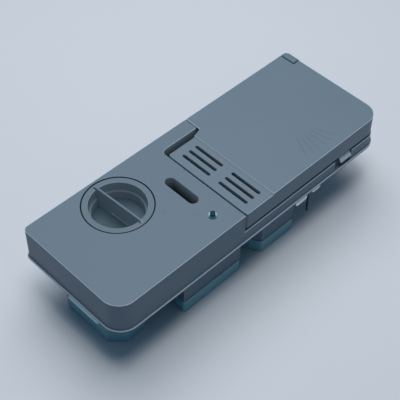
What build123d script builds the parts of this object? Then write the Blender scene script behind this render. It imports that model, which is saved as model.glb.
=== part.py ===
from build123d import *
import os

# Dishwasher detergent dispenser: a door unit with a flip lid over two detergent cups and a rinse-aid tank.
# +X runs along the length towards the lid, +Y towards the lid's hinge, +Z out of the front face, in mm.
# The origin is at the middle of the outline, on the plane that the rear housings stand on.

# Overall sizes
length = 240.0
width = 88.0
total_height = 62.0
skirt_height = 26.0
wall = 2.4
deck = 2.4
corner_near_left = 13.0
corner_near_right = 12.0
corner_far = 3.5
top_round = 0.7
lip_out = 1.1
lip_thick = 1.4

# Lid well and rim
deck_length = 106.5
rim_drop = 16.5
rim_round = 0.6
well_floor = 2.2
cup_wall = 2.0
cup_base = 2.2
main_cup_far = 22.0
main_cup_right = 14.0
main_cup_near = 10.0
main_rim_drop = 9.0
pre_cup_length = 19.0
pre_cup_far = 22.0
cup_gap = 23.5
pre_cup_left = 7.0
pre_cup_near = 8.0
pre_rim_drop = 12.0
cup_corner = 6.0

# Lid and hinge
lid_plate = 2.4
lid_wall = 2.2
lid_gap = 1.3
lid_inset = 0.5
lid_skirt = 14.5
lid_far_skirt = 10.5
grille_drop = 0.8
grille_length = 24.6
grille_ramp = 1.6
grille_width = 72.2
grille_shoulder = 2.5
grille_slant = 8.5
lid_corner = 2.5
slot_count = 3
slot_pitch = 5.85
slot_width = 2.4
slot_length = 25.2
slot_row_gap = 8.2
slot_inset = 7.2
slot_shift = 0.2
hinge_inset = 5.8
hinge_drop = 6.5
pin_radius = 1.5
pin_fit = 0.02
pin_running = 0.06
pin_sunk = 0.5
barrel_radius = 4.0
strip_width = 11.0
strip_length = 32.1
strip_boss = 6.0
strip_corner = 3.5
strip_end_round = 1.2
block_length = 5.6
block_width = 12.1
swing_clearance = 0.35
hinge_side_gap = 0.7
spring_room = 20.0
spring_room_from_cup = 36.0
lid_coil = 2.7
lid_wire = 0.55
lid_coil_turns = 8
lid_leg = 12.0
ray_count = 6
ray_from_right = 52.0
ray_from_near = 38.6
ray_inner = 17.0
ray_outer = 33.0
ray_from = 242.0
ray_step = 10.2
ray_width = 0.3
ray_depth = 0.1
seal_width = 3.0
seal_height = 1.8
seal_gap = 0.2
seal_frame = 1.4

# Rinse-aid filler, cap and dial
cap_from_left = 55.2
cap_from_far = 25.8
cap_radius = 23.2
cap_ring_gap = 0.4
cap_flange = 2.4
cap_seat_gap = 0.2
neck_bore = 22.0
neck_wall = 2.2
cap_skirt_radius = 20.4
cup_mouth = 19.0
cup_mouth_depth = 7.0
cup_ledge = 1.7
cup_depth = 13.0
cap_floor = 2.0
fin_top = 1.3
fin_foot = 4.6
fin_rise = 1.5
fin_turn = 3.0
fin_inset = 1.3
fin_slope = 1.5
bayonet_radius = 21.0
bayonet_drop = 7.5
bayonet_thick = 2.0
bayonet_gap = 15.0
lug_width = 11.0
lug_reach = 1.3
lug_thick = 1.9
lug_clearance = 0.3
cap_seal_section = 0.62
cap_seal_drop = 3.9
dial_radius = 8.0
dial_thick = 3.5
dial_grip = 3.2
dial_grip_thick = 2.6
dial_shaft = 2.5
dial_running = 0.06
dial_shaft_drop = 10.0
dial_lift = 0.3
fill_hole = 4.0
fill_circle = 14.5
fill_count = 6

# Rinse-aid outlet pocket, dosing piston and level indicator
pocket_from_well = 14.3
pocket_offset = -1.0
pocket_length = 28.0
pocket_width = 7.6
pocket_wall = 1.8
pocket_depth = 20.0
piston_from_pocket = 7.0
piston_bore = 7.0
piston_wall = 2.0
cylinder_length = 8.5
piston_clearance = 0.25
piston_thick = 2.6
piston_seat = 8.0
piston_lift = 3.0
seal_lip = 1.0
piston_coil = 3.6
piston_wire = 0.4
piston_coil_turns = 3
outlet_hole = 2.0
valve_radius = 3.4
valve_thick = 1.6
valve_play = 0.2
lens_from_well = 14.8
lens_from_near = 14.6
lens_radius = 3.1
lens_stem = 2.5
lens_rise = 2.8
lens_clearance = 0.1
lens_length = 44.0
lens_boss = 4.4

# Rear tank and boxes, from the underside of the front
roof = 2.2
roof_margin = 5.0
tank_wall = 2.0
tank_round = 1.2
tank_flange = 2.0
tank_flange_thick = 2.0
tank_left = 7.5
tank_near = 14.0
tank_far = 6.0
tank_corner_cut = 9.2
tank_far_cut = 21.0
tank_foot_length = 24.5
tank_from_pocket = 12.2
tank_step = 26.0
weld_rib = 1.6
weld_rib_height = 3.0
weld_clearance = 0.1
cover_height = 11.0
cover_floor = 3.0
cover_lip = 2.0
cover_fit = 0.15
cover_overlap = 2.0
cover_corner = 2.0
cover_round = 0.8
box_wall = 2.0
box_inset = 0.4
plug_height = 3.0
dosing_box_from_well = 22.5
dosing_box_length = 52.0
dosing_box_near = 5.2
dosing_box_gap = 2.0
drive_box_from_well = 36.0
drive_box_length = 39.0
drive_box_cut = (7.5, 12.0)
drive_box_near = 5.2
drive_box_width = 58.0
link_radius = 3.5
link_bore = 2.0
link_from_tank = 10.0
link_z = 16.0
float_from_left = 26.5
float_from_step = 13.5
float_radius = 9.0
float_bore = 3.0
float_height = 10.0
float_post = 2.6
float_rest = 0.5
magnet_play = 0.05
magnet_in = 4.2
magnet_out = 7.0
magnet_thick = 2.5
reed_from_left = 32.5
reed_long = 18.0
reed_wide = 5.0
reed_lead = 4.0
reed_lead_radius = 0.4
reed_z = 7.0

# Drive: solenoid, slide and latch
latch_travel = 5.0
notch_play = 0.5
notch_height = 8.0
tongue_from_right = 40.0
tongue_length = 11.0
tongue_out = 0.7
tongue_drop = 17.0
tongue_thick = 4.0
tongue_slope_in = 2.4
tongue_slope_drop = 3.2
slide_z = 21.0
slide_thick = 3.0
slide_width = 8.0
slide_clearance = 0.3
arm_width = 8.0
arm_from_tongue = 8.0
arm_rise = 9.0
arm_post = 3.0
latch_leg = 6.0
leg_out = 1.2
coil_from_near = 30.0
coil_z = 16.0
yoke_thick = 1.5
yoke_height = 18.0
yoke_width = 20.0
yoke_gap = 0.3
pad_width = 4.0
bobbin_radius = 5.2
bobbin_bore = 3.9
bobbin_flange = 1.4
winding_radius = 7.0
bobbin_flange_radius = 7.4
bobbin_plate = 12.0
plunger_radius = 3.5
plunger_out = 15.5
plunger_neck = 2.0
plunger_groove = 3.4
plunger_head = 2.2
plunger_coil = 4.6
plunger_wire = 0.4
plunger_coil_turns = 6
fork_wide = 8.0
fork_play = 0.15
ramp_gap = 0.25
follower_long = 5.0
follower_wide = 5.0
ramp_room = 0.7
guide_length = 6.0
guide_wall = 3.0
guide_lip = 2.0
guide_from_well = 9.0
guide_from_cup = 26.0
hook_gap = 0.3
hook_nose = 1.0
hook_thick = 2.8
hook_wide = 2.6
hook_low = 41.2
hook_clear = 2.4
way_play = 0.4
spade_width = 4.8
spade_thick = 0.8
spade_out = 13.0
spade_from_near = 13.8
spade_zs = (12.5, 20.5)

# Fasteners, clips and gasket
screw_core = 1.3
screw_head = 2.8
screw_head_thick = 1.5
screw_length = 10.0
screw_boss = 3.0
boss_merge = 0.8
screw_play = 0.05
screw_tip = 0.5
screw_slot = 0.8
counterbore = 3.2
counterbore_depth = 1.9
clip_sheet = 1.0
clip_from_notch = 9.0
clip_length = 27.0
clip_low = 37.0
clip_high = 42.8
clip_tongues = ((1.0, 12.5, 25.5), (17.1, 26.0, 27.0), (13.8, 15.2, 11.0))
clip_tongue_round = 2.5
clip_peg = 1.5
clip_pegs = (6.0, 21.0)
clip_peg_play = 0.05
left_clip_in = 2.8
left_clip_foot = 2.4
left_clip_from_near = 22.0
left_clip_length = 27.2
left_clip_drop = 9.2
gasket_thick = 1.6
gasket_out = 0.4
gasket_in = 2.2

# Places worked out from the sizes above
ramp_rate = piston_lift / latch_travel
x_left, x_right = -length / 2, length / 2
y_near, y_far = -width / 2, width / 2
z_top = total_height
z_skirt = z_top - skirt_height
z_rim = z_top - rim_drop
z_well = z_rim - well_floor
z_roof = z_skirt + roof
x_well = x_left + deck_length
y_strip = y_far - strip_width
x_strip = x_well + strip_length
x_block = x_right - block_length
y_block = y_far - block_width
y_hinge = y_far - hinge_inset
z_hinge = z_top - hinge_drop
x_lid = x_well + lid_gap
x_lid_end = x_right - lid_inset
y_lid = y_near + lid_inset
z_lid_low = z_top - lid_skirt
y_grille = y_near + grille_width
x_grille_end = x_lid + grille_length
x_lid_main = x_strip + hinge_side_gap
x_lid_notch = x_block - hinge_side_gap
z_main_rim = z_top - main_rim_drop
z_pre_rim = z_top - pre_rim_drop
pre_x0 = x_well + pre_cup_left
main_x0 = pre_x0 + pre_cup_length + cup_gap
main_cup_length = x_right - main_cup_right - main_x0
main_y0 = y_near + main_cup_near
main_cup_width = y_far - main_cup_far - main_y0
pre_y0 = y_near + pre_cup_near
pre_cup_width = y_far - pre_cup_far - pre_y0
cap_x, cap_y = x_left + cap_from_left, y_far - cap_from_far
pocket_x, pocket_y = x_well - pocket_from_well, pocket_offset
piston_y = pocket_y + piston_from_pocket
lens_x, lens_y = x_well - lens_from_well, y_near + lens_from_near
ray_x, ray_y = x_right - ray_from_right, y_near + ray_from_near
spring_room_x = main_x0 + spring_room_from_cup
z_pocket = z_top - pocket_depth
z_cylinder = z_skirt - cylinder_length
z_piston = z_skirt - piston_seat
tank_x0 = x_left + tank_left
tank_x1 = pocket_x - tank_from_pocket
tank_y0 = y_near + tank_near
tank_y1 = y_far - tank_far
tank_step_x = tank_x0 + tank_foot_length
tank_step_y = tank_y0 + tank_step
link_y = tank_y0 + link_from_tank
float_x, float_y = tank_x0 + float_from_left, tank_step_y + float_from_step
reed_x = tank_x0 + reed_from_left
dosing_box_x = x_well - dosing_box_from_well
dosing_box_width = tank_step_y - dosing_box_gap - y_near - dosing_box_near
drive_box_x = x_well + drive_box_from_well
coil_y = y_near + coil_from_near
spade_y = y_near + spade_from_near
slide_y = piston_y
slide_top = slide_z + slide_thick
arm_top = slide_top + arm_rise
tongue_x = x_right - tongue_from_right
notch_x = tongue_x - latch_travel - notch_play
notch_length = latch_travel + tongue_length + 2 * notch_play
arm_x = tongue_x - arm_from_tongue
main_cup_plan = (main_x0, main_y0, main_cup_length, main_cup_width)
pre_cup_plan = (pre_x0, pre_y0, pre_cup_length, pre_cup_width)
clip_x = notch_x - clip_from_notch - clip_length
z_tongue = z_top - tongue_drop
hook_x = tongue_x + tongue_length + hook_gap
hook_y = y_near + wall + hook_clear
leg_y0, leg_y1 = hook_y - leg_out, hook_y + hook_wide
z_bayonet = z_top - bayonet_drop
guide_in = slide_y - slide_width / 2 - slide_clearance
guide_out = slide_y + slide_width / 2 + slide_clearance
z_guide = slide_z - slide_clearance - guide_lip
drive_wall_x = drive_box_x + drive_box_length / 2 - box_inset
swing_radius = (hinge_drop**2 + (block_width - hinge_inset) ** 2) ** 0.5 + swing_clearance

os.makedirs("parts", exist_ok=True)


def finish(builder, name):
    """Labels a finished piece and writes its file."""
    builder.part.label = name
    export_step(builder.part, f"parts/{name}.step")


def span(x0, x1, y0, y1, mode=Mode.ADD):
    """A rectangle in the open sketch, given by its edges."""
    with Locations(((x0 + x1) / 2, (y0 + y1) / 2)):
        return Rectangle(x1 - x0, y1 - y0, mode=mode)


def block(x0, x1, y0, y1, z0, z1, mode=Mode.ADD):
    """A box in the open part, given by its faces."""
    with Locations(((x0 + x1) / 2, (y0 + y1) / 2, (z0 + z1) / 2)):
        return Box(x1 - x0, y1 - y0, z1 - z0, mode=mode)


def post(x, y, radius, z0, z1, mode=Mode.ADD):
    """An upright cylinder in the open part."""
    with Locations((x, y, (z0 + z1) / 2)):
        return Cylinder(radius, z1 - z0, mode=mode)


def rod(x0, x1, y, z, radius, mode=Mode.ADD):
    """A cylinder along X in the open part."""
    with Locations(((x0 + x1) / 2, y, z)):
        return Cylinder(radius, x1 - x0, rotation=(0, 90, 0), mode=mode)


def cup_sketch(cup, grow, mode=Mode.ADD):
    """The rounded plan of a detergent cup in the open sketch, grown outwards by an amount."""
    x0, y0, long, wide = cup
    with Locations((x0 + long / 2, y0 + wide / 2)):
        return RectangleRounded(long + 2 * grow, wide + 2 * grow, cup_corner + grow, mode=mode)


def rim_ring(across):
    """A ring over the middle of the main cup's rim in the open sketch, so wide across."""
    cup_sketch(main_cup_plan, cup_wall / 2 + across / 2)
    cup_sketch(main_cup_plan, cup_wall / 2 - across / 2, Mode.SUBTRACT)


def plan_face(grow):
    """The outline of the front, grown outwards by an amount."""
    with BuildSketch() as plan:
        Rectangle(length + 2 * grow, width + 2 * grow)
        for x, y, radius in (
            (x_left, y_near, corner_near_left),
            (x_right, y_near, corner_near_right),
            (x_left, y_far, corner_far),
            (x_right, y_far, corner_far),
        ):
            fillet(plan.vertices().sort_by_distance((x, y))[0], radius=radius + grow)
    return plan.sketch


def tank_face(grow):
    """The stepped outline of the rinse-aid tank with its two left corners cut off."""
    with BuildSketch() as plan:
        with BuildLine():
            Polyline(
                (tank_x0 + tank_far_cut, tank_y1),
                (tank_x0, tank_y1 - tank_far_cut),
                (tank_x0, tank_y0 + tank_corner_cut),
                (tank_x0 + tank_corner_cut, tank_y0),
                (tank_step_x, tank_y0),
                (tank_step_x, tank_step_y),
                (tank_x1, tank_step_y),
                (tank_x1, tank_y1),
                close=True,
            )
        make_face()
        if grow:
            offset(amount=grow, kind=Kind.INTERSECTION)
    return plan.sketch


def box_edges(box, inset):
    """The plan edges of a rear box's cover, taken in by an inset."""
    centre, size, near, depth = box[:4]
    return (
        centre - size / 2 + inset,
        centre + size / 2 - inset,
        y_near + near + inset,
        y_near + near + depth - inset,
    )


def box_face(box, inset):
    """The plan of a rear box taken in by an inset, with one corner cut off where the box has a cut."""
    x0, x1, y0, y1 = box_edges(box, 0)
    cut_x, cut_y = box[4]
    corner = [(x0, y0 + cut_y), (x0 + cut_x, y0)] if cut_x else [(x0, y0)]
    with BuildSketch() as plan:
        with BuildLine():
            Polyline(*corner, (x1, y0), (x1, y1), (x0, y1), close=True)
        make_face()
        if inset:
            offset(amount=-inset, kind=Kind.INTERSECTION)
    return plan.sketch


def screw_places(box):
    """The two screw places in opposite corners of a rear box."""
    x0, x1, y0, y1 = box_edges(box, cover_lip + box_wall + screw_boss - boss_merge)
    return [(x0 + box[4][0], y0), (x1, y1)]


dosing_box = (dosing_box_x, dosing_box_length, dosing_box_near, dosing_box_width, (0, 0))
drive_box = (drive_box_x, drive_box_length, drive_box_near, drive_box_width, drive_box_cut)


# Front body: deck, skirt, lid well, cups, filler neck and rear box walls in one moulding
with BuildPart() as front_body:
    with BuildSketch(Plane.XY.offset(z_skirt)):
        add(plan_face(lip_out))
    extrude(amount=lip_thick)
    fillet(front_body.edges().group_by(Axis.Z)[-1], radius=lip_out * 0.9)
    with BuildSketch(Plane.XY.offset(z_skirt)):
        add(plan_face(0))
    extrude(amount=z_rim - z_skirt)
    fillet(front_body.edges().group_by(Axis.Z)[-1], radius=rim_round)
    with BuildSketch(Plane.XY.offset(z_rim - rim_round)) as raised:
        span(x_left, x_well, y_near, y_far)
        span(x_well, x_strip, y_strip, y_far)
        inner = raised.vertices().sort_by_distance((x_well, y_strip))[0]
        fillet(inner, radius=strip_corner)
        outer = raised.vertices().sort_by_distance((x_strip, y_strip))[0]
        fillet(outer, radius=strip_end_round)
        span(x_block, x_right, y_block, y_far)
        add(plan_face(0), mode=Mode.INTERSECT)
    extrude(amount=z_top - z_rim + rim_round)
    fillet(front_body.faces().group_by(Axis.Z)[-1].edges(), radius=top_round)

    # space under the deck and strip, and under the lid well
    with BuildSketch(Plane.XY.offset(z_roof)):
        span(x_left, x_well - wall, y_near, y_far)
        span(x_well - wall, x_strip - strip_boss, y_strip + wall, y_far)
        add(plan_face(-wall), mode=Mode.INTERSECT)
    extrude(amount=z_top - deck - z_roof, mode=Mode.SUBTRACT)
    with BuildSketch(Plane.XY.offset(z_skirt)):
        span(x_well, x_right, y_near, y_far)
        add(plan_face(-wall), mode=Mode.INTERSECT)
    extrude(amount=z_well - z_skirt, mode=Mode.SUBTRACT)

    # roof of the dosing box where it reaches under the lid well
    rx0, rx1, ry0, ry1 = box_edges(dosing_box, box_inset)
    block(x_well - wall, rx1, ry0, ry1, z_skirt, z_roof)

    # walls of the rear boxes, which plug into their covers
    for box, z_join in ((dosing_box, z_skirt + roof / 2), (drive_box, z_well + well_floor / 2)):
        for z0, z1, inset in (
            (cover_height - cover_overlap, cover_height + plug_height, cover_lip),
            (cover_height, z_join, box_inset),
        ):
            with BuildSketch(Plane.XY.offset(z0)):
                add(box_face(box, inset))
                add(box_face(box, inset + box_wall), mode=Mode.SUBTRACT)
            extrude(amount=z1 - z0)
        for x, y in screw_places(box):
            post(x, y, screw_boss, cover_floor, z_join)
            post(x, y, screw_core + screw_play, cover_floor, cover_floor + screw_length, Mode.SUBTRACT)

    # filler neck with its seat, bayonet ring and floor holes
    post(cap_x, cap_y, neck_bore + neck_wall, z_roof, z_top - deck)
    z_seat = z_top - cap_flange - cap_seat_gap
    post(cap_x, cap_y, cap_radius + cap_ring_gap, z_seat, z_top, Mode.SUBTRACT)
    post(cap_x, cap_y, neck_bore, z_roof, z_top, Mode.SUBTRACT)
    with BuildSketch(Plane.XY.offset(z_bayonet - bayonet_thick)):
        with Locations((cap_x, cap_y)):
            Circle(neck_bore + neck_wall / 2)
            Circle(bayonet_radius, mode=Mode.SUBTRACT)
        with Locations((cap_x, cap_y)):
            Rectangle(2 * (neck_bore + neck_wall), bayonet_gap, mode=Mode.SUBTRACT)
    extrude(amount=bayonet_thick)
    with Locations((cap_x, cap_y, z_skirt + roof / 2)):
        with PolarLocations(fill_circle, fill_count):
            Cylinder(fill_hole, roof, mode=Mode.SUBTRACT)
    post(cap_x, cap_y, dial_shaft + dial_running, z_skirt, z_roof, Mode.SUBTRACT)

    # rinse-aid outlet pocket over the dosing cylinder
    for grow, z0, z1, mode in (
        (pocket_wall, z_skirt, z_top - deck, Mode.ADD),
        (0, z_pocket, z_top, Mode.SUBTRACT),
    ):
        with BuildSketch(Plane.XY.offset(z0)):
            with Locations(Location((pocket_x, pocket_y), 90)):
                SlotOverall(pocket_length + 2 * grow, pocket_width + 2 * grow)
        extrude(amount=z1 - z0, mode=mode)
    post(pocket_x, piston_y, piston_bore + piston_wall, z_cylinder, z_skirt)
    post(pocket_x, piston_y, piston_bore, z_cylinder, z_skirt, Mode.SUBTRACT)
    post(pocket_x, piston_y, outlet_hole, z_skirt, z_pocket, Mode.SUBTRACT)

    # sleeve of the level indicator
    post(lens_x, lens_y, lens_boss, z_roof, z_top - deck)
    post(lens_x, lens_y, lens_stem + lens_clearance, z_skirt, z_top, Mode.SUBTRACT)

    # openings in the roof from the space under the deck to the tank and the dosing box
    opening_x1 = cap_x - neck_bore - neck_wall - roof_margin / 2
    opening_y0, opening_y1 = tank_y0 + tank_corner_cut, tank_y1 - tank_far_cut
    block(tank_x0 + roof_margin, opening_x1, opening_y0, opening_y1, z_skirt, z_roof, Mode.SUBTRACT)
    void_x0, _, void_y0, void_y1 = box_edges(dosing_box, cover_lip + box_wall + roof_margin)
    block(void_x0, lens_x - lens_boss - roof_margin, void_y0, void_y1, z_skirt, z_roof, Mode.SUBTRACT)

    # weld rib that the tank's wall fits round
    with BuildSketch(Plane.XY.offset(z_skirt - weld_rib_height)):
        add(tank_face(-tank_wall - weld_clearance))
        add(tank_face(-tank_wall - weld_clearance - weld_rib), mode=Mode.SUBTRACT)
    extrude(amount=weld_rib_height)

    # hinge pin holes
    rod(x_strip - strip_boss, x_strip, y_hinge, z_hinge, pin_radius + pin_fit, Mode.SUBTRACT)
    rod(x_block, x_right + 1, y_hinge, z_hinge, pin_radius + pin_fit, Mode.SUBTRACT)

    # latch notch in the near rim and the floor slot for the lid's hook
    z_notch = z_rim - notch_height
    block(notch_x, notch_x + notch_length, y_near - lip_out, y_near + wall, z_notch, z_rim, Mode.SUBTRACT)
    floor_slot_x1 = hook_x + hook_nose + hook_thick + hook_clear
    floor_slot_y1 = hook_y + hook_wide + hook_gap
    block(notch_x, floor_slot_x1, y_near + wall, floor_slot_y1, z_well, z_rim, Mode.SUBTRACT)

    # ways through the drive box for the slide, the plunger and the terminals
    bx0, bx1 = box_edges(drive_box, 0)[:2]
    way_z0, way_z1 = slide_z - slide_clearance, slide_top + slide_clearance
    block(bx0, bx1, guide_in, guide_out, way_z0, way_z1, Mode.SUBTRACT)
    bx_in = bx1 - cover_lip - box_wall
    rod(bx_in, bx1, coil_y, coil_z, plunger_radius + way_play, Mode.SUBTRACT)
    way_half = spade_width / 2 + way_play
    for z in spade_zs:
        z0, z1 = z - spade_thick / 2 - way_play, z + spade_thick / 2 + way_play
        block(bx_in, bx1, spade_y - way_half, spade_y + way_half, z0, z1, Mode.SUBTRACT)
    rod(rx0, rx0 + box_wall, link_y, link_z, link_bore, Mode.SUBTRACT)

    # pegs that hold the retaining clips
    for x in clip_pegs:
        for side in (-1, 1):
            with Locations((clip_x + x, side * (y_far - wall - clip_sheet), (clip_low + clip_high) / 2)):
                Cylinder(clip_peg, 2 * clip_sheet, rotation=(90, 0, 0))

    # seats of the two cups, which are welded in from above
    for cup in (main_cup_plan, pre_cup_plan):
        with BuildSketch(Plane.XY.offset(z_skirt)):
            cup_sketch(cup, cup_wall)
        extrude(amount=z_top - z_skirt, mode=Mode.SUBTRACT)
finish(front_body, "front_body")


def cup_part(cup, z_edge, guide_x):
    """A detergent cup with the pair of hooks under it that guide the drive slide."""
    with BuildPart() as tray:
        with BuildSketch(Plane.XY.offset(z_skirt)):
            cup_sketch(cup, cup_wall)
        extrude(amount=z_edge - z_skirt)
        with BuildSketch(Plane.XY.offset(z_skirt + cup_base)):
            cup_sketch(cup, 0)
        extrude(amount=z_edge - z_skirt - cup_base, mode=Mode.SUBTRACT)
        fillet(tray.edges().group_by(Axis.Z)[-1], radius=cup_wall * 0.3)
        x0, x1 = guide_x - guide_length / 2, guide_x + guide_length / 2
        for y0, y1, lip_y0, lip_y1 in (
            (guide_in - guide_wall, guide_in, guide_in - guide_wall, guide_in + guide_lip),
            (guide_out, guide_out + guide_wall, guide_out - guide_lip, guide_out + guide_wall),
        ):
            block(x0, x1, y0, y1, z_guide, z_skirt)
            block(x0, x1, lip_y0, lip_y1, z_guide, z_guide + guide_lip)
    return tray.part


# Detergent cups: the main cup under the lid's plate and the prewash cup under its grille
with BuildPart() as main_cup:
    add(cup_part(main_cup_plan, z_main_rim, main_x0 + guide_from_cup))
finish(main_cup, "main_cup")

with BuildPart() as prewash_cup:
    add(cup_part(pre_cup_plan, z_pre_rim, x_well + guide_from_well))
finish(prewash_cup, "prewash_cup")


def lid_face(shrink):
    """The outline of the lid, stepped at the grille, the strip and the hinge block."""
    y_right = y_block - hinge_side_gap
    with BuildSketch() as plan:
        with BuildLine():
            Polyline(
                (x_lid, y_lid),
                (x_lid_end, y_lid),
                (x_lid_end, y_right),
                (x_lid_notch, y_right),
                (x_lid_notch, y_far),
                (x_lid_main, y_far),
                (x_lid_main, y_grille + grille_shoulder),
                (x_lid_main - grille_slant, y_grille),
                (x_lid, y_grille),
                close=True,
            )
        make_face()
        for x, y, radius in (
            (x_lid, y_lid, lid_corner),
            (x_lid, y_grille, lid_corner),
            (x_lid_end, y_lid, corner_near_right - lid_inset),
        ):
            fillet(plan.vertices().sort_by_distance((x, y))[0], radius=radius)
        if shrink:
            offset(amount=-shrink, kind=Kind.INTERSECTION)
    return plan.sketch


# Lid: plate with a sunk grille, skirts, hinge barrels, seal frame and latch hook
with BuildPart() as lid:
    z_grille = z_top - grille_drop
    with BuildSketch(Plane.XY.offset(z_lid_low)):
        add(lid_face(0))
        span(x_grille_end, x_right, y_near, y_far, mode=Mode.INTERSECT)
    extrude(amount=z_top - z_lid_low)
    fillet(lid.faces().sort_by(Axis.Z)[-1].edges(), radius=top_round)
    with BuildSketch(Plane.XY.offset(z_lid_low)):
        add(lid_face(0))
        span(x_lid, x_grille_end, y_near, y_far, mode=Mode.INTERSECT)
    extrude(amount=z_grille - z_lid_low)
    ledge = lid.edges().filter_by_position(Axis.Z, z_grille - 0.01, z_grille + 0.01)
    ledge = ledge.filter_by_position(Axis.X, x_lid - 0.01, x_grille_end - 0.01)
    fillet(ledge, radius=top_round)
    for x0, x1, z1 in (
        (x_grille_end, x_right, z_top - lid_plate),
        (x_lid, x_grille_end, z_grille - lid_plate),
    ):
        with BuildSketch(Plane.XY.offset(z_lid_low)):
            add(lid_face(lid_wall))
            span(x0, x1, y_near, y_far, mode=Mode.INTERSECT)
        extrude(amount=z1 - z_lid_low, mode=Mode.SUBTRACT)
    with BuildSketch(Plane(origin=(0, y_grille - top_round, 0), x_dir=(1, 0, 0), z_dir=(0, -1, 0))):
        with BuildLine():
            Polyline(
                (x_grille_end - grille_ramp, z_grille),
                (x_grille_end + top_round, z_top),
                (x_grille_end + top_round, z_top - lid_plate / 2),
                (x_grille_end - grille_ramp, z_top - lid_plate / 2),
                close=True,
            )
        make_face()
    extrude(amount=y_grille - y_lid - 2 * top_round)
    block(x_lid, x_right, y_far - lid_wall, y_far, z_lid_low, z_top - lid_far_skirt, Mode.SUBTRACT)
    rod(x_lid - 1, x_lid_main, y_hinge, z_hinge, swing_radius, Mode.SUBTRACT)
    rod(x_lid_notch, x_right + 1, y_hinge, z_hinge, swing_radius, Mode.SUBTRACT)
    for x0, x1 in (
        (x_lid_main, spring_room_x - spring_room / 2),
        (spring_room_x + spring_room / 2, x_lid_notch),
    ):
        rod(x0, x1, y_hinge, z_hinge, barrel_radius)
        block(x0, x1, y_hinge - pin_radius, y_hinge + pin_radius, z_hinge, z_top - lid_plate / 2)
    rod(x_lid_main, x_lid_notch, y_hinge, z_hinge, pin_radius + pin_running, Mode.SUBTRACT)
    with BuildSketch(Plane.XY.offset(z_main_rim + seal_gap + seal_height)):
        rim_ring(seal_frame)
    extrude(until=Until.NEXT)
    with BuildSketch(Plane.XY.offset(z_grille - lid_plate)):
        for i in range(slot_count):
            for row in (-1, 1):
                y = y_near + grille_width / 2 + slot_shift + row * (slot_length + slot_row_gap) / 2
                with Locations(Location((x_lid + slot_inset + i * slot_pitch, y), 90)):
                    SlotOverall(slot_length, slot_width)
    extrude(amount=lid_plate, mode=Mode.SUBTRACT)
    with BuildSketch(Plane.XY.offset(z_top - ray_depth)):
        with Locations((ray_x, ray_y)):
            sweep_angle = ray_step * (ray_count - 1)
            ray_middle = (ray_inner + ray_outer) / 2
            with PolarLocations(ray_middle, ray_count, ray_from, sweep_angle, endpoint=True):
                SlotOverall(ray_outer - ray_inner, ray_width)
    extrude(amount=ray_depth, mode=Mode.SUBTRACT)
    stem_x = hook_x + hook_nose
    block(stem_x, stem_x + hook_thick, hook_y, hook_y + hook_wide, hook_low, z_top - lid_plate / 2)
    block(hook_x, stem_x, hook_y, hook_y + hook_wide, hook_low, hook_low + hook_thick / 2)
finish(lid, "lid")

# Lid seal: a soft ring pressed onto the frame over the main cup's rim
with BuildPart() as lid_seal:
    with BuildSketch(Plane.XY.offset(z_main_rim + seal_gap)):
        rim_ring(seal_width)
    extrude(amount=seal_height)
finish(lid_seal, "lid_seal")

# Hinge pin: a steel rod through the strip, the lid's barrels and the corner block
with BuildPart() as hinge_pin:
    rod(x_strip - strip_boss, x_right - pin_sunk, y_hinge, z_hinge, pin_radius)
finish(hinge_pin, "hinge_pin")


def coil(start, direction, radius, wire, turns, height):
    """A round-wire coil from a start point along a direction."""
    with BuildPart() as spring:
        with BuildLine() as path:
            Helix(pitch=height / turns, height=height, radius=radius, center=start, direction=direction)
        with BuildSketch(Plane(origin=path.line @ 0, z_dir=path.line % 0)):
            Circle(wire)
        sweep(path=path.line, is_frenet=True)
    return spring.part, path.line @ 0, path.line @ 1


# Lid spring: a torsion coil round the pin with one leg under the lid and one on the well floor
coil_x0 = spring_room_x - spring_room / 2 + lid_wire * 2
coil_long = spring_room - lid_wire * 4
coil_start = (coil_x0, y_hinge, z_hinge)
turns, leg_0, leg_1 = coil(coil_start, (1, 0, 0), lid_coil, lid_wire, lid_coil_turns, coil_long)
with BuildPart() as lid_spring:
    add(turns)
    post(leg_0.X + 0.75 * coil_long / lid_coil_turns, y_hinge - lid_coil, lid_wire, z_rim, z_hinge)
    with Locations((leg_1.X, y_hinge - lid_leg / 2, leg_1.Z)):
        Cylinder(lid_wire, lid_leg, rotation=(90, 0, 0))
finish(lid_spring, "lid_spring")


def cap_fin():
    """The cap's finger fin: a web across its cup, drafted so that it is thin at the top."""
    along = Vector(0, 1, 0).rotate(Axis.Z, fin_turn)
    across = Vector(1, 0, 0).rotate(Axis.Z, fin_turn)
    half = cap_radius - fin_inset
    step = cup_mouth - cup_ledge
    with BuildPart() as fin:
        with BuildSketch(Plane(origin=(cap_x, cap_y, z_top), x_dir=along, z_dir=across)):
            with BuildLine():
                Polyline(
                    (-half, 0),
                    (-half + fin_slope, fin_rise),
                    (half - fin_slope, fin_rise),
                    (half, 0),
                    (cup_mouth, -cap_flange / 2),
                    (cup_mouth, -cup_mouth_depth),
                    (step, -cup_mouth_depth),
                    (step, -cup_depth - cap_floor / 2),
                    (-step, -cup_depth - cap_floor / 2),
                    (-step, -cup_mouth_depth),
                    (-cup_mouth, -cup_mouth_depth),
                    (-cup_mouth, -cap_flange / 2),
                    close=True,
                )
            make_face()
        extrude(amount=fin_foot / 2, both=True)
        with BuildSketch(Plane(origin=(cap_x, cap_y, z_top), x_dir=across, z_dir=-along)):
            with BuildLine():
                Polyline(
                    (-fin_top / 2, fin_rise),
                    (fin_top / 2, fin_rise),
                    (fin_foot / 2, -cup_depth),
                    (fin_foot / 2, -cup_depth - cap_floor),
                    (-fin_foot / 2, -cup_depth - cap_floor),
                    (-fin_foot / 2, -cup_depth),
                    close=True,
                )
            make_face()
        extrude(amount=cap_radius, both=True, mode=Mode.INTERSECT)
    return fin.part


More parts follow.
